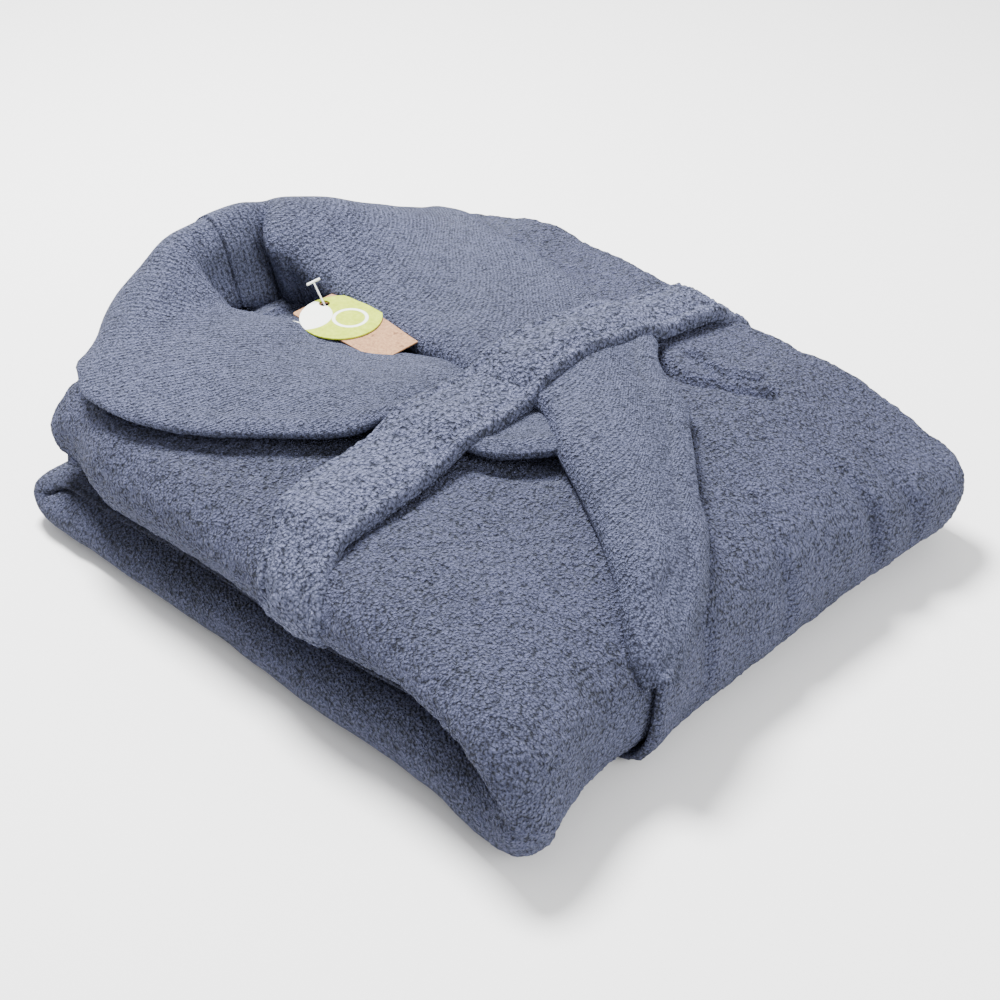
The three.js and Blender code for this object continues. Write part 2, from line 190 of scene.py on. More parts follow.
def loop_of(n, m):
    """Indices of a grid's edge points, in order round it."""
    ids = np.arange(n * m).reshape(n, m)
    return np.concatenate([ids[:-1, 0], ids[-1, :-1], ids[:0:-1, -1], ids[0, :0:-1]])


def quads_of(n, m, offset=0):
    ids = np.arange(n * m).reshape(n, m) + offset
    return np.stack([ids[:-1, :-1], ids[1:, :-1], ids[1:, 1:], ids[:-1, 1:]], axis=-1).reshape(-1, 4)


def make_mesh(name, points, faces, uv):
    mesh = bpy.data.meshes.new(name)
    mesh.from_pydata((np.asarray(points) * MM).tolist(), [], [list(f) for f in faces])
    layer = mesh.uv_layers.new(name="UVMap")
    vertex = np.zeros(len(mesh.loops), np.int32)
    mesh.loops.foreach_get("vertex_index", vertex)
    layer.data.foreach_set("uv", (np.asarray(uv) * MM)[vertex].astype(np.float32).ravel())
    mesh.polygons.foreach_set("use_smooth", np.ones(len(mesh.polygons), bool))
    mesh.update()
    obj = bpy.data.objects.new(name, mesh)
    bpy.context.collection.objects.link(obj)
    return obj


def cloth(name, face, thick, material, seed, loops=1.0, flip=False, level=None, first=0):
    """A closed layer of cloth under the grid face, with terry loops on it and its edges rounded.

    The edges count from first on: first row, last row, first column, last column.
    """
    n, m = face.shape[:2]
    out = normals(blur(face, 3)) * (-1 if flip else 1)
    gaps = from_edge(face)
    near = np.minimum.reduce(gaps[first:])
    half = np.asarray(thick) / 2
    turn = 1 - np.sqrt(np.clip(1 - (1 - np.clip(near / np.maximum(half, 0.1), 0, 1)) ** 2, 0, 1))
    drop = (half * 0.94 * turn)[..., None]
    cover = ramp(near, 0, 2.5)[..., None]
    rough = pile_height(face, seed, loops)[..., None] * (0.35 + 0.65 * cover)
    outer = face - out * drop + out * rough
    depth = (np.asarray(thick) * np.ones(face.shape[:2]))[..., None]
    inner = face - out * (depth - SEATED * drop)
    inner = inner[::2, ::2]
    if level is not None:
        outer[..., 2] = np.maximum(outer[..., 2], level)
        inner[..., 2] = np.maximum(inner[..., 2], level + 0.2)
    n2, m2 = inner.shape[:2]
    a = loop_of(n, m)
    b = loop_of(n2, m2) + n * m
    a0, a1, a2 = a[0::2], a[1::2], np.roll(a, -1)[1::2]
    b0, b1 = b, np.roll(b, -1)
    rim = np.concatenate([np.stack(t, axis=-1) for t in ((a1, a0, b0), (a1, b0, b1), (a2, a1, b1))])
    back = quads_of(n2, m2, n * m)[:, ::-1]
    faces = quads_of(n, m).tolist() + back.tolist() + rim.tolist()
    if flip:
        faces = [f[::-1] for f in faces]
    uv = np.stack([gaps[2], gaps[0]], axis=-1)
    points = np.concatenate([outer.reshape(-1, 3), inner.reshape(-1, 3)])
    obj = make_mesh(name, points, faces, np.concatenate([uv.reshape(-1, 2), uv[::2, ::2].reshape(-1, 2)]))
    obj.data.materials.append(material)
    return obj


def loft(stations, along, across):
    """Grid through rows of points."""
    stations = np.asarray(stations, float)
    t = odd(even(stations, along))
    rows = curve(stations, t)
    turned = np.swapaxes(rows, 0, 1)
    s = odd(even(turned, across))
    return np.swapaxes(curve(turned, s), 0, 1)


def grid_bvh(*grids):
    """Search tree of the faces of several grids."""
    points, faces, base = [], [], 0
    for g in grids:
        n, m = g.shape[:2]
        points += g.reshape(-1, 3).tolist()
        faces += quads_of(n, m, base).tolist()
        base += n * m
    return BVHTree.FromPolygons(points, faces)


# ---------------------------------------------------------------- how the pile has settled


def groove(distance, width):
    return np.exp(-(distance / width) ** 2)


# Level of the slot along the near side: x and z.
SLOT_LEVEL = [(-178, 32), (-150, 29), (-127, 27), (-41, 31), (35, 35), (75, 42), (105, 47), (148, 43),
              (175, 38)]

# Creases of the far front, seen in plan: points along each, its depth and half its width.
CREASES = [
    ([(34, 84), (62, 76), (83, 87), (104, 98)], 8.0, 4.0),
    ([(52, 98), (73, 95), (90, 105)], 5.5, 4.0),
    ([(92, 46), (99, 42), (143, 27), (178, 20)], 2.4, 3.0),
]


def creased(x, y):
    """How deep the creases are under points x, y."""
    total = np.zeros(x.shape)
    for line, depth, width in CREASES:
        gap = np.full(x.shape, 1e6)
        for a, b in curve(line, even(line, 3.0)):
            gap = np.minimum(gap, np.hypot(x - a, y - b))
        total += depth * groove(gap, width)
    return total


def settle(p):
    """Sag, lumps and creases of the whole pile, the same for every piece in it."""
    p = np.array(p, float)
    x, y, z = p[..., 0], p[..., 1], p[..., 2]
    # the slot's level along the near side, and the far edges' sag
    gap = np.interp(x, *np.array(SLOT_LEVEL).T)
    gap = gap + 3.5 * noise(np.stack([x, x * 0, x * 0], axis=-1), 44, 15)
    low = z * gap / MIDDLE
    high = gap + (z - MIDDLE) * (TOP - gap) / (TOP - MIDDLE)
    near = ramp(-y, 105, 165)
    z2 = mix(z, np.where(z < MIDDLE, low, high), near)
    z2 = z2 - 6.0 * (np.abs(y) / 168.0) ** 3 * ramp(z, 50, 90)
    # soft lumps over the whole pile
    upper = ramp(z, 8, 40)
    base = np.stack([x, y, z], axis=-1)
    stretched = base * np.array([0.6, 1.0, 1.0])
    z2 = z2 + upper * (2.6 * noise(stretched, 55, 3) + 1.1 * noise(stretched, 22, 4))
    # the waist fold: lumps, and upright creases
    end = ramp(x, 120, 170)
    x2 = x + ramp(z, 2, 20) * end * (2.6 * noise(base, 48, 5) + 1.0 * noise(base, 20, 6))
    x2 = x2 - end * upper * (4.0 * groove(y - 14 - 0.05 * z, 4.5) + 7.0 * groove(y - 92 + 0.1 * z, 5.0))
    x2 = x2 - end * upper * (4.5 * groove(y - 122 + 0.15 * z, 5.0) + 3.5 * groove(y + 48 - 0.1 * z, 4.0))
    # wrinkles that run from the far lapel to the waist fold
    top_face = ramp(z, 60, 88)
    fan = 2.2 * noise(np.stack([x * 0.25, y + 0.12 * (x - 60), z * 0], axis=-1), 17, 13)
    z2 = z2 + top_face * fan * groove(x - 85, 45) * ramp(y, 55, 100)
    z2 = z2 - top_face * creased(x, y)
    x2 = x2 + 9.0 * end * groove(y - 140, 45) * groove(z - 45, 30)
    # rippled long sides
    side = ramp(np.abs(y), 120, 165) * ramp(z, 1, 12)
    outward = np.sign(y)
    ripple = 2.2 * noise(base * np.array([1, 1, 0.45]), 34, 7) + 1.1 * noise(base, 15, 8)
    y2 = y + side * outward * ripple
    # the far corners are lower than the middle
    far_sag = 19 * ramp(x, 90, 185) + 17 * ramp(-x, 95, 175)
    z2 = z2 - upper * ramp(z, 40, 90) * ramp(y, 50, 165) * far_sag
    # the near corner at the waist fold stands out
    corner = ramp(x, 120, 178) * ramp(-y, 105, 165) * ramp(z, -4, 10)
    x2 = x2 + 7.0 * corner
    y2 = y2 - 7.0 * corner
    # the belt pulls the far side in
    pull = groove(x - 25, 60) * ramp(y, 95, 165) * ramp(z, 30, 60)
    y2 = y2 - 8.0 * pull
    z2 = z2 - 3.0 * pull
    # the near shoulder: out above the slot and in under it
    shoulder = ramp(-x, 110, 178) * ramp(-y, 100, 165)
    y2 = y2 + shoulder * mix(-6.0, 13.0, ramp(z, 26, 50))
    x2 = x2 + shoulder * mix(-6.0, 3.0, ramp(z, 26, 50))
    # lumps at the collar's end
    end_low = ramp(-x, 150, 178) * ramp(z, 1, 12)
    x2 = x2 - end_low * (2.4 * noise(base, 40, 9) + 1.0 * noise(base, 17, 10))
    # room for the pockets
    rise = POCKET_RISE * ramp(x, -62, -55) * ramp(-x, -122, -115) * ramp(-z, -8, 0)
    right_pocket = ramp(y, -155, -148) * ramp(-y, 75, 82)
    left_pocket = ramp(y, -73, -66) * ramp(-y, -91, -84)
    z2 = z2 + rise * (right_pocket + left_pocket)
    return np.stack([x2, y2, z2], axis=-1)


# ---------------------------------------------------------------- the two fronts

rows_shown = even(np.array(ROUND)[:, :2], FINE, 0.0, SHOWN_TO)
rows_under = even(np.array(ROUND)[:, :2], COARSE, SHOWN_TO, TURN_FROM)[1:]
rows_turn = even(np.array(ROUND)[:, :2], FINE * 1.6, TURN_FROM, TURN_TO)[1:]
rows_back = even(np.array(ROUND)[:, :2], COARSE, TURN_TO, len(ROUND) - 1)[1:]
ROWS = odd(np.concatenate([rows_shown, rows_under, rows_turn, rows_back]))


def front_grid(side, rows, step, lift=0.0):
    """Outer face of a front: side is +1 for the left front, on the far side, and -1 for the right."""
    k = curve(ROUND, rows)
    outer, inner = k[:, 0:2], k[:, 2:4]
    edge = k[:, 4] if side > 0 else k[:, 5]
    under = 0.36 if side < 0 else 0.0
    flat = np.linspace(under, 1, max(6, int(165 / step)))[:-1]
    flat = np.concatenate([np.linspace(0, under, 12)[:-1], flat]) if under else flat
    turn = np.linspace(0, math.pi, max(8, int(72 / step)))
    lip = np.linspace(0, 1, 6)[1:]
    total = odd(np.concatenate([flat, 1 + turn / math.pi, 2 + lip]))
    c = total[None, :]
    y_flat = edge[:, None] + (side * HALF_FLAT - edge[:, None]) * np.clip(c, 0, 1)
    angle = math.pi * np.clip(c - 1, 0, 1)
    bulge = SIDE_ROLL * np.clip(np.linalg.norm(outer - inner, axis=1) / 30.0, 0.15, 1.0)
    y = y_flat + side * bulge[:, None] * np.sin(angle) - side * LIP * np.clip(c - 2, 0, 1)
    middle, radius = (outer + inner) / 2, (outer - inner) / 2
    xz = middle[:, None, :] + radius[:, None, :] * np.cos(angle)[..., None]
    grid = np.stack([xz[..., 0], y, xz[..., 1]], axis=-1)
    away = unit(radius)[:, None, :]
    left_edge = k[:, 4][:, None]
    on_top = (rows[:, None] < UNDER_FROM) * (c < 1)
    crossing = ramp(grid[..., 0], -75, -15)
    if side < 0:
        depth = 4.5 + 2.5 * groove(grid[..., 0] - 42, 36)
        press = -depth * ramp(y, left_edge - 75, left_edge - 30) * crossing * on_top
        # a shadow line just beyond the near lapel's edge, where it crosses under the far one
        outside = ((grid[..., 0] - 36) * 33 - (y + 55) * 39) / 51
        beyond = ramp(grid[..., 0], 16, 26) * (1 - ramp(grid[..., 0], 78, 88))
        press = press - 1.5 * groove(outside - 3.5, 3.5) * beyond * on_top
        # the near front falls away at the neck
        press = press - 11.0 * ramp(y, edge[:, None] - 48, edge[:, None] - 6) * (1 - crossing) * on_top
        press = press - 6.5 * ramp(y, -106, -88) * (c < 1) * (rows[:, None] >= UNDER_FROM)
    else:
        press = 2.5 * (1 - ramp(y, left_edge, left_edge + 34)) * crossing * on_top
        press = press - 5.0 * (1 - ramp(y, left_edge, left_edge + 30)) * (1 - crossing) * on_top
    grid[..., 0] += away[..., 0] * (press + lift)
    grid[..., 2] += away[..., 1] * (press + lift)
    return settle(grid)


def make_front(side, name, material, seed):
    grid = front_grid(side, ROWS, FINE)
    shown = (ROWS < UNDER_FROM)[:, None] * np.ones(grid.shape[1])
    thick = np.where((ROWS > TURN_TO - 0.5)[:, None], 2.4, PLY) * np.ones(grid.shape[:2])
    loops = 0.35 + 0.65 * shown
    obj = cloth(name, grid, blur(thick, 4), material, seed, loops, flip=side < 0, level=0.3)
    return obj, grid


# ---------------------------------------------------------------- collar

# The collar in rows from the centre back seam to a lapel's end: its outer edge, three points over
# the roll, its top, and three points down the inside to the neck seam.
COLLAR_RIGHT = [
    [(-203, -34, 62), (-205, -33, 90), (-200, -32, 112), (-190, -31, 124),
     (-181, -31, 113), (-177, -31, 96), (-172, -31, 80)],
    [(-199, -90, 64), (-203, -82, 88), (-196, -71, 108), (-187, -58, 123),
     (-178, -52, 112), (-174, -50, 96), (-168, -48, 80)],
    [(-178, -120, 68), (-181, -112, 88), (-177, -99, 104), (-169, -76, 114),
     (-165, -57, 104), (-163, -50, 92), (-158, -46, 80)],
    [(-146, -145, 80), (-151, -138, 93), (-152, -119, 102), (-153, -88, 105),
     (-151, -59, 97), (-149, -51, 88), (-146, -44, 80)],
    [(-123, -153, 87), (-128, -140, 96), (-134, -117, 101), (-136, -84, 101),
     (-134, -46, 91), (-132, -40, 86), (-130, -36, 79)],
    [(-99, -151, 90), (-104, -135, 97), (-111, -109, 100), (-116, -76, 99),
     (-118, -38, 90), (-116, -33, 85), (-113, -30, 78)],
    [(-71, -138, 91), (-76, -123, 97), (-84, -99, 98), (-92, -66, 95),
     (-98, -31, 86), (-96, -27, 82), (-94, -24, 77)],
    [(-39, -115, 92), (-45, -101, 97), (-55, -78, 97), (-64, -48, 93),
     (-72, -23, 86), (-70, -19, 82), (-68, -16, 77)],
    [(-14, -89, 92), (-20, -77, 97), (-31, -57, 97), (-42, -36, 94),
     (-53, -13, 87), (-51, -9, 83), (-49, -6, 78)],
    [(-4, -66, 93), (-8, -56, 97), (-14, -40, 96), (-21, -24, 93),
     (-29, -4, 88), (-28, 0, 84), (-27, 4, 80)],
    [(22, -61, 91), (20, -52, 94), (15, -38, 92), (8, -22, 90), (2, 0, 87), (3, 6, 84), (4, 9, 81)],
    [(43, -52, 90), (41, -45, 93), (37, -33, 92), (32, -18, 89), (27, 2, 86), (27, 6, 84), (26, 9, 82)],
    [(59, -34, 90), (56, -29, 92), (51, -19, 91), (46, -8, 88), (40, 9, 85), (39, 12, 84), (38, 15, 82)],
    [(76, -11, 86), (73, -8, 87), (69, 0, 87), (64, 8, 86), (58, 18, 85), (57, 21, 84), (56, 24, 83)],
]
COLLAR_LEFT = [
    [(-203, -34, 62), (-205, -33, 90), (-200, -32, 112), (-190, -31, 124),
     (-181, -31, 113), (-177, -31, 96), (-172, -31, 80)],
    [(-203, 4, 60), (-205, 0, 90), (-200, -4, 112), (-190, -8, 123),
     (-182, -6, 112), (-178, -6, 96), (-172, -5, 70)],
    [(-202, 30, 60), (-204, 24, 89), (-198, 16, 110), (-190, 10, 117),
     (-187, 13, 110), (-186, 15, 96), (-181, 16, 70)],
    [(-197, 58, 60), (-198, 48, 87), (-193, 34, 106), (-182, 15, 121),
     (-166, -6, 115), (-163, -4, 101), (-164, 6, 70)],
    [(-183, 96, 62), (-183, 84, 85), (-176, 65, 102), (-166, 35, 116),
     (-153, -2, 110), (-154, 2, 97), (-156, 9, 70)],
    [(-162, 116, 70), (-162, 102, 86), (-156, 82, 99), (-149, 48, 108),
     (-140, 3, 101), (-141, 7, 90), (-142, 12, 70)],
    [(-134, 116, 84), (-134, 103, 92), (-131, 84, 98), (-127, 50, 102),
     (-123, 8, 94), (-124, 10, 87), (-126, 15, 70)],
    [(-100, 105, 91), (-101, 94, 96), (-102, 76, 99), (-103, 46, 98),
     (-104, 9, 90), (-104, 11, 84), (-104, 17, 70)],
    [(-59, 102, 92), (-60, 91, 98), (-62, 72, 99), (-64, 42, 98),
     (-66, 5, 91), (-66, 7, 86), (-66, 11, 80)],
    [(-16, 93, 92), (-18, 83, 98), (-20, 64, 99), (-23, 36, 99), (-27, 3, 93), (-27, 5, 88), (-27, 10, 83)],
    [(33, 81, 92), (31, 72, 98), (28, 58, 100), (25, 38, 102), (12, -4, 99), (12, -4, 94), (13, 2, 89)],
    [(60, 60, 92), (58, 53, 98), (56, 44, 99), (53, 26, 101), (42, 0, 99), (42, 0, 94), (44, 6, 88)],
    [(91, 42, 91), (90, 35, 96), (88, 23, 98), (86, 8, 97), (76, -21, 96), (76, -21, 90), (78, -14, 86)],
    [(120, 13, 88), (119, 7, 92), (118, -4, 93), (117, -18, 92),
     (112, -40, 92), (112, -40, 87), (114, -33, 82)],
    [(147, -17, 80), (146, -22, 85), (145, -31, 86), (144, -43, 85),
     (142, -60, 86), (143, -60, 81), (145, -54, 77)],
    [(167, -43, 68), (166, -48, 71), (165, -55, 72), (164, -64, 72),
     (163, -76, 76), (164, -77, 71), (166, -72, 68)],
    [(181, -76, 54), (181, -77, 55), (181, -79, 55), (181, -82, 55),
     (181, -87, 55), (181, -87, 53), (181, -85, 52)],
]


def lay_on(grid, tree, gap, hold):
    """Lifts a grid to at least gap outside a tree's faces, and where hold is 1 lowers it to that."""
    lift = np.zeros(grid.shape)
    for i in range(grid.shape[0]):
        for j in range(grid.shape[1]):
            point = Vector(grid[i, j])
            spot, facing, _, distance = tree.find_nearest(point)
            if distance > REACH:
                continue
            short = gap - (point - spot).dot(facing)
            if short < 0:
                short = max(short, -8.0) * hold[i, j]
            lift[i, j] = np.array(facing) * min(short, 22.0)
    return grid + blur(lift, 16)


def make_collar(name, stations, tree, material, seed, flip):
    grid = loft(stations, FINE * 0.9, FINE * 0.9)
    share = np.linspace(0, 1, grid.shape[1])[None, :]
    back = np.linspace(0, 1, grid.shape[0])[:, None]
    hold = (1 - ramp(share, 0.12, 0.42)) * ramp(back, 0.3, 0.4)
    lapel = 1 - ramp(share, 0.66, 0.78)
    grid = mix(grid, lay_on(grid, tree, COLLAR_PLY + 0.3, hold), lapel[..., None])
    grid = blur(grid, 4)
    ridge = 0.8 * noise(grid * np.array([0.5, 1, 1]), 16, seed) + 1.3 * noise(grid, 38, seed + 2)
    out = normals(grid) * (-1 if flip else 1)
    edge = from_edge(grid)[2]
    stitch = -1.1 * groove(edge - 9.0, 2.4) * ramp(back, 0.2, 0.3)
    grid = grid + out * (ridge * ramp(edge, 0, 12) + stitch)[..., None]
    thin = mix(COLLAR_PLY, 2.0, ramp(back, 0.97, 1.0)) * np.ones(grid.shape[:2])
    return cloth(name, grid, thin, material, seed, 1.0, flip=flip, first=1), grid


# ---------------------------------------------------------------- belt

# The belt across the pile: at each y, its middle (x) and its width.
BELT_MIDDLE = [(-172, 34), (-150, 22), (-118, 18), (-88, 17), (-24, 13), (26, 11), (79, 16), (130, 22),
               (172, 25)]
BELT_WIDTH = [(-172, 45), (-150, 44), (-118, 47), (-88, 49), (-24, 46), (26, 43), (79, 40), (130, 37),
              (172, 38)]


def belt_grid(tree):
    """The belt's upper face: out of the slot, round one side, over the lapels and down the other."""
    span = SIDE_ROLL + 3.5
    turn = np.linspace(math.pi, 0, int(90 / FINE))
    climb = (TOP + MIDDLE + 6) / 2 + 28 * np.cos(turn)
    start = np.stack([-HALF_FLAT - span * np.sin(turn), climb], axis=-1)
    inside = np.linspace(-84, -HALF_FLAT + 4, 16)
    tuck = np.stack([inside, np.full_like(inside, TUCK_Z)], axis=-1)
    level = np.linspace(-HALF_FLAT, HALF_FLAT, int(2 * HALF_FLAT / FINE))[1:-1]
    flat = np.stack([level, np.full_like(level, TOP)], axis=-1)
    near = np.concatenate([tuck, start])
    path = np.concatenate([near, flat, near[::-1] * np.array([-1, 1])])
    path = path[: len(path) - 1 + len(path) % 2]
    across = odd(np.linspace(-0.5, 0.5, int(56 / FINE)))
    middle = np.interp(path[:, 0], *np.array(BELT_MIDDLE).T)
    width = np.interp(path[:, 0], *np.array(BELT_WIDTH).T)
    middle, width = blur(middle, 20, (0,)), blur(width, 20, (0,))
    x = middle[:, None] + width[:, None] * across[None, :]
    ones = np.ones_like(x)
    grid = np.stack([x, path[:, :1] * ones, path[:, 1:] * ones], axis=-1)
    on_top = len(near), len(near) + len(flat)
    grid = settle(grid)
    top = grid[on_top[0]:on_top[1]]
    height = np.zeros(top.shape[:2])
    for i in range(top.shape[0]):
        for j in range(top.shape[1]):
            hit = tree.ray_cast(Vector((top[i, j, 0], top[i, j, 1], 200.0)), Vector((0, 0, -1)))[0]
            height[i, j] = TOP if hit is None else hit.z
    level_across = np.sort(height, axis=1)[:, -height.shape[1] // 4:].mean(axis=1, keepdims=True)
    height = blur(mix(np.maximum(height, level_across - 6), level_across, 0.55), 12)
    pillow = 1.0 - (2 * across[None, :]) ** 2
    top[..., 2] = height + BELT_THICK + 0.8 + 2.0 * pillow
    grid[on_top[0]:on_top[1]] = top
    return blur(grid, 10, (0,))


def make_belt(tree, material):
    grid = belt_grid(tree)
    out = normals(grid) * -1
    out = out * np.sign(out[grid.shape[0] // 2, grid.shape[1] // 2, 2])
    flip = normals(grid)[grid.shape[0] // 2, grid.shape[1] // 2, 2] < 0
    pucker = 1.3 * noise(grid * np.array([1.0, 0.5, 1.0]), 14, 41) + 1.2 * noise(grid, 30, 42)
    edge = np.minimum(*from_edge(grid)[2:])
    stitch = -1.5 * groove(edge - 7.0, 2.2)
    grid = grid + out * (pucker + stitch)[..., None]
    return cloth("belt_cloth", grid, BELT_THICK, material, 43, 1.25, flip=bool(flip))


# ---------------------------------------------------------------- hidden and small pieces


def tube_in(node, name, material, seed):
    """A flattened sleeve or cuff that fills a CAD node's box, its mouth open at the waist end."""
    lo, hi = (np.array(v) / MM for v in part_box(node))
    centre, half = (lo + hi) / 2, (hi - lo) / 2
    around = np.linspace(0, 2 * math.pi, 73)[:-1]
    power = 0.45
    cy = np.sign(np.cos(around)) * np.abs(np.cos(around)) ** power
    cz = np.sign(np.sin(around)) * np.abs(np.sin(around)) ** power
    x = np.linspace(lo[0], hi[0], max(7, int((hi[0] - lo[0]) / 7)))
    wall = min(2.2, half[2] * 0.4)
    shells = []
    for inset in (0.0, wall):
        y = centre[1] + (half[1] - inset - 1.5) * cy
        z = centre[2] + (half[2] - inset) * cz
        ring = np.stack([np.zeros_like(y), y, z], axis=-1)
        shell = np.repeat(ring[None], len(x), axis=0)
        shell[..., 0] = x[:, None]
        shell[..., 2] += 0.5 * noise(shell, 30, seed) * (1 if inset == 0 else 0.2)
        shells.append(shell)
    n, m = shells[0].shape[:2]
    points = settle(np.concatenate([s.reshape(-1, 3) for s in shells]))
    ids = np.arange(n * m).reshape(n, m)
    nxt = np.roll(ids, -1, axis=1)
    skin = np.stack([ids[:-1], nxt[:-1], nxt[1:], ids[1:]], axis=-1).reshape(-1, 4)
    lining = skin[:, ::-1] + n * m
    rims = [np.stack([ids[0], ids[0] + n * m, nxt[0] + n * m, nxt[0]], axis=-1),
            np.stack([ids[-1], nxt[-1], nxt[-1] + n * m, ids[-1] + n * m], axis=-1)]
    faces = np.concatenate([skin, lining] + rims)
    uv = np.stack([np.tile(around * half[1] * 0.6, n), np.repeat(x, m)], axis=-1)
    obj = make_mesh(name, points, faces.tolist(), np.concatenate([uv, uv]))
    obj.data.materials.append(material)
    return obj


def strip(name, path, side, width, thick, material, step=0.8):
    """A tape of that width along a path, side being the direction across it."""
    path = np.asarray(path, float)
    side = unit(np.broadcast_to(np.asarray(side, float), path.shape)) * width / 2
    stations = np.stack([path - side, path - side / 3, path + side / 3, path + side], axis=1)
    grid = loft(stations, step, step)
    return cloth(name, grid, thick, material, 61, 0.08)


def hanger(material):
    """The hanger loop lies flat on the facing, both ends sewn at the neck seam."""
    lo, hi = (np.array(v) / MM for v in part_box("hanger_loop"))
    around = np.linspace(-math.pi / 2, math.pi / 2, 13)
    reach, half = hi[0] - lo[0] - 7, (hi[1] - lo[1]) / 2 - 9
    middle = (lo[1] + hi[1]) / 2
    x = lo[0] + 5 + reach * np.cos(around) ** 0.6
    y = middle + half * np.sin(around)
    z = hi[2] + 0.5 * np.cos(around)
    path = np.stack([x, y, z], axis=-1)
    heading = unit(np.gradient(path, axis=0))
    side = np.cross(heading, [0, 0, 1])
    return strip("loop_of_tape", path, side, 5.0, 1.2, material)


def label(material):
    """Folded size label, sewn in at one edge and standing up a little."""
    lo, hi = (np.array(v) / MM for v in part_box("size_label"))
    lo, hi = lo + LABEL_SHIFT, hi + LABEL_SHIFT
    y = (lo[1] + hi[1]) / 2
    path = [(lo[0], y, 79.2), (lo[0] + 4, y, 80.6), (hi[0] - 1.5, y, 82.4), (hi[0], y, 82.0),
            (hi[0] - 1.2, y, 81.2), (lo[0] + 4, y, 79.4), (lo[0] + 0.5, y, 78.4)]
    return strip("folded_label", path, (0, 1, 0), 13.5, 0.35, material, 0.6)


def belt_carrier(node, name, material):
    """A belt loop: a narrow band under the belt, its ends sewn to the cloth above."""
    lo, hi = (np.array(v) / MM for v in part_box(node))
    y = (lo[1] + hi[1]) / 2
    path = [(lo[0] + 1, y, hi[2]), (lo[0], y, hi[2] - 4), (lo[0] + 2, y, lo[2] - 1.2),
            (lo[0] + 8, y, lo[2] - 3), (hi[0] - 8, y, lo[2] - 3), (hi[0] - 2, y, lo[2] - 1.2),
            (hi[0], y, hi[2] - 4), (hi[0] - 1, y, hi[2])]
    return strip(name, path, (0, 1, 0), hi[1] - lo[1] - 0.5, 1.6, material, 1.2)


def facing(material):
    """The inside of the back that shows in the neck opening."""
    x = [-178, -150, -120, -90, -60, -30, 0]
    near_edge, far_edge = [-78, -72, -56, -46, -34, -18, -2], [22, 22, 24, 26, 24, 16, 12]
    stations = [[(a, b, 80), (a, mix(b, c, 0.35), 77), (a, mix(b, c, 0.65), 77), (a, c, 70)]
                for a, b, c in zip(x, near_edge, far_edge)]
    grid = loft(stations, FINE, FINE)
    grid[..., 2] += 0.8 * noise(grid, 20, 71)
    grid[..., 2] += 1.6 * groove(grid[..., 0] + 158 - 0.12 * (grid[..., 1] + 30) ** 2 / 30, 2.5)
    return cloth("neck_lining", grid, 2.5, material, 72, 0.7, flip=normals(grid)[5, 5, 2] < 0)


def back_layer(material):
    """The back of the robe, folded round inside the fronts."""
    path = [(-165, 74.5), (-60, 74.5), (60, 74.5), (140, 73), (163, 62), (171, 42), (164, 20),
            (142, 11.5), (40, 11.5), (-60, 11.5), (-165, 11.5)]
    stations = [[(x, y, z) for y in (-146, -70, 70, 146)] for x, z in path]
    grid = settle(loft(stations, 6.0, 6.0))
    middle = normals(grid)[grid.shape[0] // 8, grid.shape[1] // 2, 2]
    return cloth("back_of_robe", grid, 5.0, material, 73, 0.5, flip=middle < 0)


def patch_pocket(node, name, material):
    """A patch pocket under the pile, with its hem stitched at the opening."""
    lo, hi = (np.array(v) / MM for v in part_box(node))
    x = odd(np.arange(lo[0] + 1, hi[0], 2.2))
    y = odd(np.arange(lo[1] + 1, hi[1], 2.2))
    gx, gy = np.meshgrid(x, y, indexing="ij")
    grid = np.stack([gx, gy, np.full_like(gx, 0.5)], axis=-1)
    inset = np.minimum.reduce(from_edge(grid))
    grid[..., 2] += 0.7 * groove(inset - 5.0, 1.4) + 0.7 * groove(gx - (lo[0] + 28), 1.6)
    return cloth(name, grid, 2.0, material, 74, 0.25, flip=True, level=0.25)


# ---------------------------------------------------------------- materials


def shader(name):
    material = bpy.data.materials.new(name)
    material.use_nodes = True
    tree = material.node_tree
    return material, tree, tree.nodes["Principled BSDF"]


def add_node(tree, kind, **settings):
    made = tree.nodes.new(kind)
    for key, value in settings.items():
        if hasattr(made, key):
            setattr(made, key, value)
        else:
            made.inputs[key.replace("_", " ")].default_value = value
    return made


def ramp_node(tree, factor, stops):
    made = tree.nodes.new("ShaderNodeValToRGB")
    marks = made.color_ramp.elements
    for i, (place, colour) in enumerate(stops):
        mark = marks[i] if i < 2 else marks.new(place)
        mark.position, mark.color = place, colour
    tree.links.new(factor, made.inputs["Fac"])
    return made


def relief(tree, bsdf, height, strength, distance, patches, smooth, rough, spread=0.2):
    """Bump from a height, and a roughness that wanders from smooth to rough with a texture."""
    bump = add_node(tree, "ShaderNodeBump", Strength=strength, Distance=distance)
    tree.links.new(height, bump.inputs["Height"])
    tree.links.new(bump.outputs["Normal"], bsdf.inputs["Normal"])
    stops = [(0.5 - spread, (smooth,) * 3 + (1,)), (0.5 + spread, (rough,) * 3 + (1,))]
    tree.links.new(ramp_node(tree, patches, stops).outputs["Color"], bsdf.inputs["Roughness"])


def over(tree, bsdf, factor, under, colour):
    """Base colour under, with a plain colour over it where factor is 1."""
    blend = add_node(tree, "ShaderNodeMix", data_type="RGBA")
    coloured = {socket.name: socket for socket in blend.inputs if socket.type == "RGBA"}
    tree.links.new(factor, blend.inputs["Factor"])
    tree.links.new(under, coloured["A"])
    coloured["B"].default_value = colour
    result = next(socket for socket in blend.outputs if socket.type == "RGBA")
    tree.links.new(result, bsdf.inputs["Base Color"])


def linear(r, g, b):
    def one(c):
        c /= 255.0
        return c / 12.92 if c <= 0.04045 else ((c + 0.055) / 1.055) ** 2.4
    return one(r), one(g), one(b), 1.0


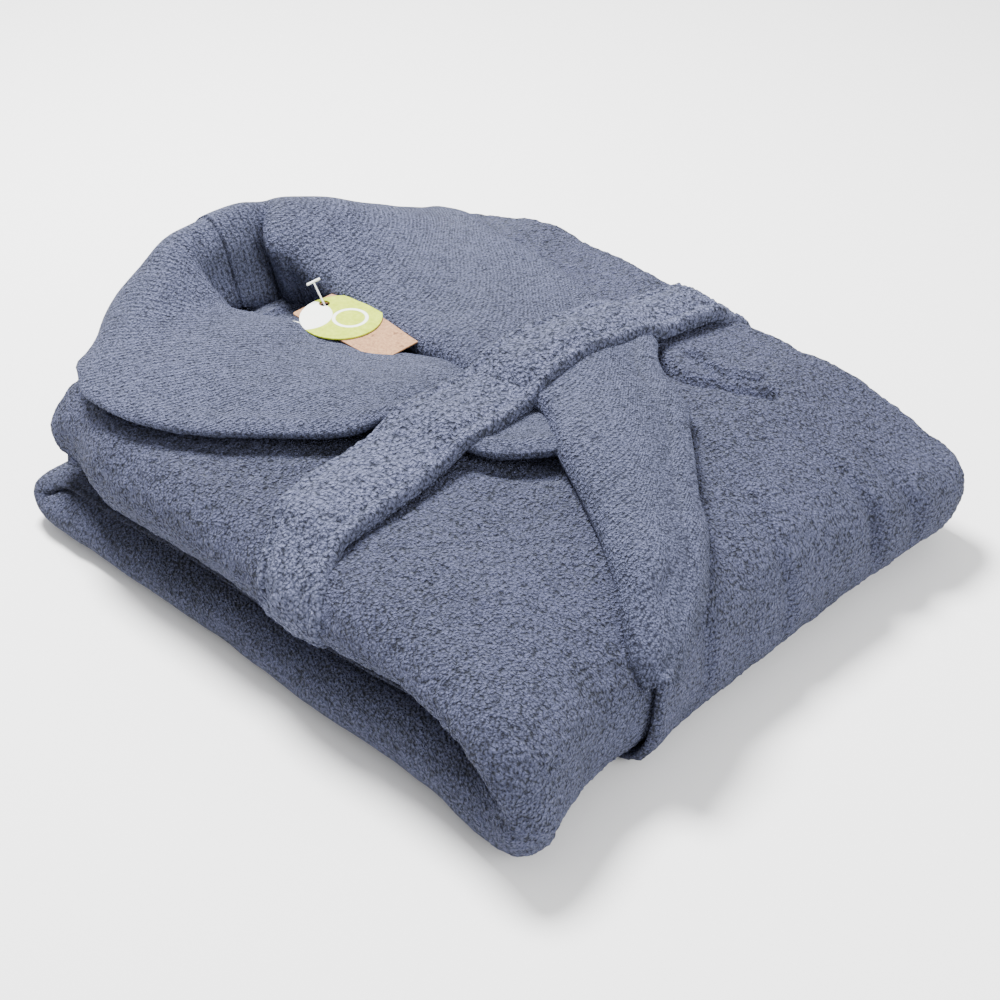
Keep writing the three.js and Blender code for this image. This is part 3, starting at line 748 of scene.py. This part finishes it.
def terry(name, light, dark, loop_size, rib):
    """Looped towelling: curled loops, rib rows, faded patches, painted shade in the low parts between loops
    and rows, and a soft sheen.
    """
    material, tree, bsdf = shader(name)
    link = tree.links.new
    place = add_node(tree, "ShaderNodeTexCoord")
    swirl = add_node(tree, "ShaderNodeTexNoise", Scale=420.0, Detail=2.0)
    bend = add_node(tree, "ShaderNodeVectorMath", operation="MULTIPLY_ADD")
    bend.inputs[1].default_value = (0.0022, 0.0022, 0.0022)
    link(place.outputs["Object"], swirl.inputs["Vector"])
    link(swirl.outputs["Color"], bend.inputs[0])
    link(place.outputs["Object"], bend.inputs[2])
    loops = add_node(tree, "ShaderNodeTexVoronoi", Scale=1000.0 / loop_size)
    fuzz = add_node(tree, "ShaderNodeTexNoise", Scale=1500.0 / loop_size, Detail=4.0)
    clump = add_node(tree, "ShaderNodeTexNoise", Scale=170.0, Detail=2.0)
    patch = add_node(tree, "ShaderNodeTexNoise", Scale=13.0, Detail=3.0)
    for texture in (loops, fuzz):
        link(bend.outputs["Vector"], texture.inputs["Vector"])
    for texture in (clump, patch):
        link(place.outputs["Object"], texture.inputs["Vector"])
    rows = add_node(tree, "ShaderNodeTexWave", Scale=100.0 * math.pi / RIB_STEP,
                    Distortion=2.2, Detail=2.0)
    rows.inputs["Detail Scale"].default_value = 1.0
    rows.bands_direction = "Y"
    link(place.outputs["UV"], rows.inputs["Vector"])

    def add_part(total, part, share):
        made = add_node(tree, "ShaderNodeMath", operation="MULTIPLY_ADD")
        link(part, made.inputs[0])
        made.inputs[1].default_value = share
        link(total, made.inputs[2])
        return made.outputs[0]

    height = add_part(fuzz.outputs["Fac"], loops.outputs["Distance"], -0.8)
    height = add_part(height, clump.outputs["Fac"], 0.35)
    height = add_part(height, rows.outputs["Fac"], rib)
    # The colour follows the height: its dark end is painted shade in the low parts between loops and rows,
    # and the patches add faded tone.
    tone_and_gap_shade = add_part(height, patch.outputs["Fac"], 0.3)
    middle = 0.5 - 0.8 * 0.45 + 0.175 + rib * 0.5 + 0.15
    colour = ramp_node(tree, tone_and_gap_shade, [(middle - 0.32, dark), (middle + 0.24, light)])
    link(colour.outputs["Color"], bsdf.inputs["Base Color"])
    relief(tree, bsdf, height, 1.0, 0.0048, clump.outputs["Fac"], 0.86, 0.98, 0.3)
    bsdf.inputs["Specular IOR Level"].default_value = 0.15
    bsdf.inputs["Sheen Weight"].default_value = 0.12
    bsdf.inputs["Sheen Roughness"].default_value = 0.6
    bsdf.inputs["Sheen Tint"].default_value = (0.62, 0.68, 0.85, 1)
    return material


def woven(name, light, dark, thread=0.5):
    """Smooth woven tape."""
    material, tree, bsdf = shader(name)
    link = tree.links.new
    place = add_node(tree, "ShaderNodeTexCoord")
    warp = add_node(tree, "ShaderNodeTexWave", Scale=500.0 / thread / math.pi, Distortion=0.6, Detail=1.0)
    weft = add_node(tree, "ShaderNodeTexWave", Scale=500.0 / thread / math.pi, Distortion=0.6, Detail=1.0)
    weft.bands_direction = "Y"
    mottle = add_node(tree, "ShaderNodeTexNoise", Scale=300.0, Detail=4.0)
    for texture in (warp, weft, mottle):
        link(place.outputs["Object"], texture.inputs["Vector"])
    both = add_node(tree, "ShaderNodeMath", operation="MULTIPLY")
    link(warp.outputs["Fac"], both.inputs[0])
    link(weft.outputs["Fac"], both.inputs[1])
    total = add_node(tree, "ShaderNodeMath", operation="MULTIPLY_ADD")
    link(both.outputs[0], total.inputs[0])
    total.inputs[1].default_value = 0.5
    link(mottle.outputs["Fac"], total.inputs[2])
    colour = ramp_node(tree, total.outputs[0], [(0.25, dark), (0.85, light)])
    link(colour.outputs["Color"], bsdf.inputs["Base Color"])
    relief(tree, bsdf, total.outputs[0], 0.5, 0.0002, mottle.outputs["Fac"], 0.6, 0.8)
    bsdf.inputs["Sheen Weight"].default_value = 0.1
    return material


def kraft():
    """Brown recycled card with fibres."""
    material, tree, bsdf = shader("kraft_card")
    link = tree.links.new
    place = add_node(tree, "ShaderNodeTexCoord")
    fibre = add_node(tree, "ShaderNodeTexNoise", Scale=900.0, Detail=6.0)
    fleck = add_node(tree, "ShaderNodeTexNoise", Scale=260.0, Detail=2.0)
    for texture in (fibre, fleck):
        link(place.outputs["Object"], texture.inputs["Vector"])
    base = ramp_node(tree, fibre.outputs["Fac"], [(0.3, linear(132, 92, 62)), (0.7, linear(172, 132, 96))])
    spot = ramp_node(tree, fleck.outputs["Fac"], [(0.62, (0, 0, 0, 1)), (0.7, (1, 1, 1, 1))])
    over(tree, bsdf, spot.outputs["Color"], base.outputs["Color"], linear(110, 76, 50))
    relief(tree, bsdf, fibre.outputs["Fac"], 0.35, 0.0001, fibre.outputs["Fac"], 0.72, 0.9)
    return material


def coated():
    """Glossy round card: green, with a plain white patch at one side and a plain white ring."""
    material, tree, bsdf = shader("coated_card")
    link = tree.links.new
    place = add_node(tree, "ShaderNodeTexCoord")
    grain = add_node(tree, "ShaderNodeTexNoise", Scale=500.0, Detail=4.0)
    link(place.outputs["Object"], grain.inputs["Vector"])
    greens = [(0.3, linear(158, 176, 22)), (0.7, linear(184, 200, 48))]
    green = ramp_node(tree, grain.outputs["Fac"], greens)

    def away_from(x, y):
        """Distance from a point of the disc, its box counted as 1 by 1."""
        flat = add_node(tree, "ShaderNodeVectorMath", operation="MULTIPLY_ADD")
        flat.inputs[1].default_value = (1, 1, 0)
        flat.inputs[2].default_value = (-x, -y, 0)
        link(place.outputs["Generated"], flat.inputs[0])
        length = add_node(tree, "ShaderNodeVectorMath", operation="LENGTH")
        link(flat.outputs["Vector"], length.inputs[0])
        return length.outputs["Value"]

    black, white = (0, 0, 0, 1), (1, 1, 1, 1)
    ring_edges = [(0.175, black), (0.185, white), (0.215, white), (0.225, black)]
    ring = ramp_node(tree, away_from(0.60, 0.56), ring_edges)
    patch = ramp_node(tree, away_from(0.16, 0.22), [(0.33, white), (0.34, black)])
    either = add_node(tree, "ShaderNodeMath", operation="MAXIMUM")
    link(ring.outputs["Color"], either.inputs[0])
    link(patch.outputs["Color"], either.inputs[1])
    over(tree, bsdf, either.outputs[0], green.outputs["Color"], linear(240, 243, 236))
    relief(tree, bsdf, grain.outputs["Fac"], 0.12, 0.00005, grain.outputs["Fac"], 0.3, 0.42)
    return material


def plastic():
    """Milky nylon of the tag pin."""
    material, tree, bsdf = shader("nylon")
    place = add_node(tree, "ShaderNodeTexCoord")
    cloud = add_node(tree, "ShaderNodeTexNoise", Scale=700.0, Detail=3.0)
    tree.links.new(place.outputs["Object"], cloud.inputs["Vector"])
    whites = [(0.3, linear(222, 224, 222)), (0.7, linear(240, 241, 238))]
    colour = ramp_node(tree, cloud.outputs["Fac"], whites)
    tree.links.new(colour.outputs["Color"], bsdf.inputs["Base Color"])
    relief(tree, bsdf, cloud.outputs["Fac"], 0.2, 0.00005, cloud.outputs["Fac"], 0.3, 0.45)
    return material


# One terry cloth in three copies. The collar and belt copies are painted lighter and the robe copy painted
# darker, as painted light and shade for how the light falls on those parts. In each copy the second colour
# is painted shade between the loops.
BLUE_LIGHT, BLUE_GAP_SHADE = linear(91, 95, 126), linear(17, 19, 33)
robe_terry_shaded = terry("robe_terry_shaded", BLUE_LIGHT, BLUE_GAP_SHADE, 1.5, 0.10)
collar_terry_lit = terry("collar_terry_lit", linear(104, 109, 141), linear(27, 30, 50), 1.3, 0.20)
belt_terry = terry("belt_terry", linear(112, 117, 149), linear(22, 25, 42), 1.9, 0.0)
tape = woven("loop_tape", linear(120, 128, 156), linear(70, 78, 104))
label_cloth = woven("label_cloth", linear(246, 247, 246), linear(214, 217, 218), 0.35)
kraft_card = kraft()
coated_card = coated()
nylon = plastic()

# ---------------------------------------------------------------- build

left_front, left_grid = make_front(1, "left_front", robe_terry_shaded, 11)
right_front, right_grid = make_front(-1, "right_front", robe_terry_shaded, 12)
shown = slice(0, int((ROWS < UNDER_FROM).sum()) // 2 * 2, 2)
fronts_tree = grid_bvh(right_grid[shown, ::-2])
both_tree = grid_bvh(left_grid[shown, ::2], right_grid[shown, ::-2])

right_collar, right_collar_grid = make_collar(
    "right_collar", COLLAR_RIGHT, fronts_tree, collar_terry_lit, 21, True)
left_collar, left_collar_grid = make_collar(
    "left_collar", COLLAR_LEFT, both_tree, collar_terry_lit, 24, False)
over_tree = grid_bvh(left_grid[shown, ::2], right_grid[shown, ::2], left_collar_grid[::2, ::2],
                     right_collar_grid[::2, ::2])
belt = make_belt(over_tree, belt_terry)


def settle_in(obj, node):
    """obj stands for a CAD node and rides on its body."""
    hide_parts(node)
    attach(obj, BODY_OF[node])
    return obj


BODY_OF = {node: body for body, nodes in frame["record"]["behaviour"]["bodies"].items() for node in nodes}

settle_in(left_front, "front_left")
settle_in(right_front, "front_right")
settle_in(right_collar, "collar_right")
settle_in(left_collar, "collar_left")
settle_in(belt, "belt")

back = back_layer(robe_terry_shaded)
settle_in(back, "back_panel")
lining = facing(collar_terry_lit)
settle_in(lining, "neck_facing")
for side in ("left", "right"):
    sleeve = tube_in("sleeve_" + side, side + "_sleeve", robe_terry_shaded, 51)
    settle_in(sleeve, "sleeve_" + side)
    cuff = tube_in("cuff_" + side, side + "_cuff", robe_terry_shaded, 53)
    settle_in(cuff, "cuff_" + side)
    carrier = belt_carrier("belt_loop_" + side, side + "_belt_loop", robe_terry_shaded)
    settle_in(carrier, "belt_loop_" + side)
    pocket = patch_pocket("pocket_" + side, side + "_pocket", robe_terry_shaded)
    settle_in(pocket, "pocket_" + side)

tape_loop = hanger(tape)
settle_in(tape_loop, "hanger_loop")
size_label = label(label_cloth)
settle_in(size_label, "size_label")
for node, material, name in (("hang_tag", kraft_card, "kraft_card"),
                             ("round_tag", coated_card, "coated_card"), ("tag_pin", nylon, "nylon")):
    card = frame["nodes"][node]
    card.data.materials.clear()
    card.data.materials.append(material)

# ---------------------------------------------------------------- floor, light and camera

floor_mesh = bpy.data.meshes.new("floor")
floor_mesh.from_pydata([(-6, -6, 0), (6, -6, 0), (6, 6, 0), (-6, 6, 0)], [], [(0, 1, 2, 3)])
floor = bpy.data.objects.new("floor", floor_mesh)
bpy.context.collection.objects.link(floor)
floor_paint, floor_tree, floor_bsdf = shader("floor_paint")
floor_bsdf.inputs["Base Color"].default_value = (0.9, 0.9, 0.9, 1)
floor_bsdf.inputs["Roughness"].default_value = 0.9
floor_mesh.materials.append(floor_paint)

world = bpy.data.worlds.new("studio")
bpy.context.scene.world = world
world.use_nodes = True
world.node_tree.nodes["Background"].inputs["Color"].default_value = (1, 1, 1, 1)
world.node_tree.nodes["Background"].inputs["Strength"].default_value = 1.05


def area_light(name, place, size, power, aim=(0, 0, 0.05)):
    lamp = bpy.data.lights.new(name, "AREA")
    lamp.shape, lamp.size, lamp.energy = "DISK", size, power
    obj = bpy.data.objects.new(name, lamp)
    obj.location = place
    obj.rotation_euler = (Vector(aim) - Vector(place)).to_track_quat("-Z", "Y").to_euler()
    bpy.context.collection.objects.link(obj)


area_light("key", (-0.5, 0.05, 1.25), 0.45, 72)
area_light("fill", (1.3, 0.15, 0.6), 1.0, 19)

CAMERA_TARGET = Vector((-0.014, 0.019, 0.0))
CAMERA_AZIMUTH, CAMERA_ELEVATION = math.radians(44.1), math.radians(37)
back_vector = Vector((math.sin(CAMERA_AZIMUTH) * math.cos(CAMERA_ELEVATION),
                      -math.cos(CAMERA_AZIMUTH) * math.cos(CAMERA_ELEVATION), math.sin(CAMERA_ELEVATION)))
camera_data = bpy.data.cameras.new("camera")
camera_data.lens, camera_data.sensor_width = 64.8, 36
camera = bpy.data.objects.new("camera", camera_data)
camera.location = CAMERA_TARGET + back_vector
camera.rotation_euler = (-back_vector).to_track_quat("-Z", "Y").to_euler()
bpy.context.collection.objects.link(camera)
bpy.context.scene.camera = camera
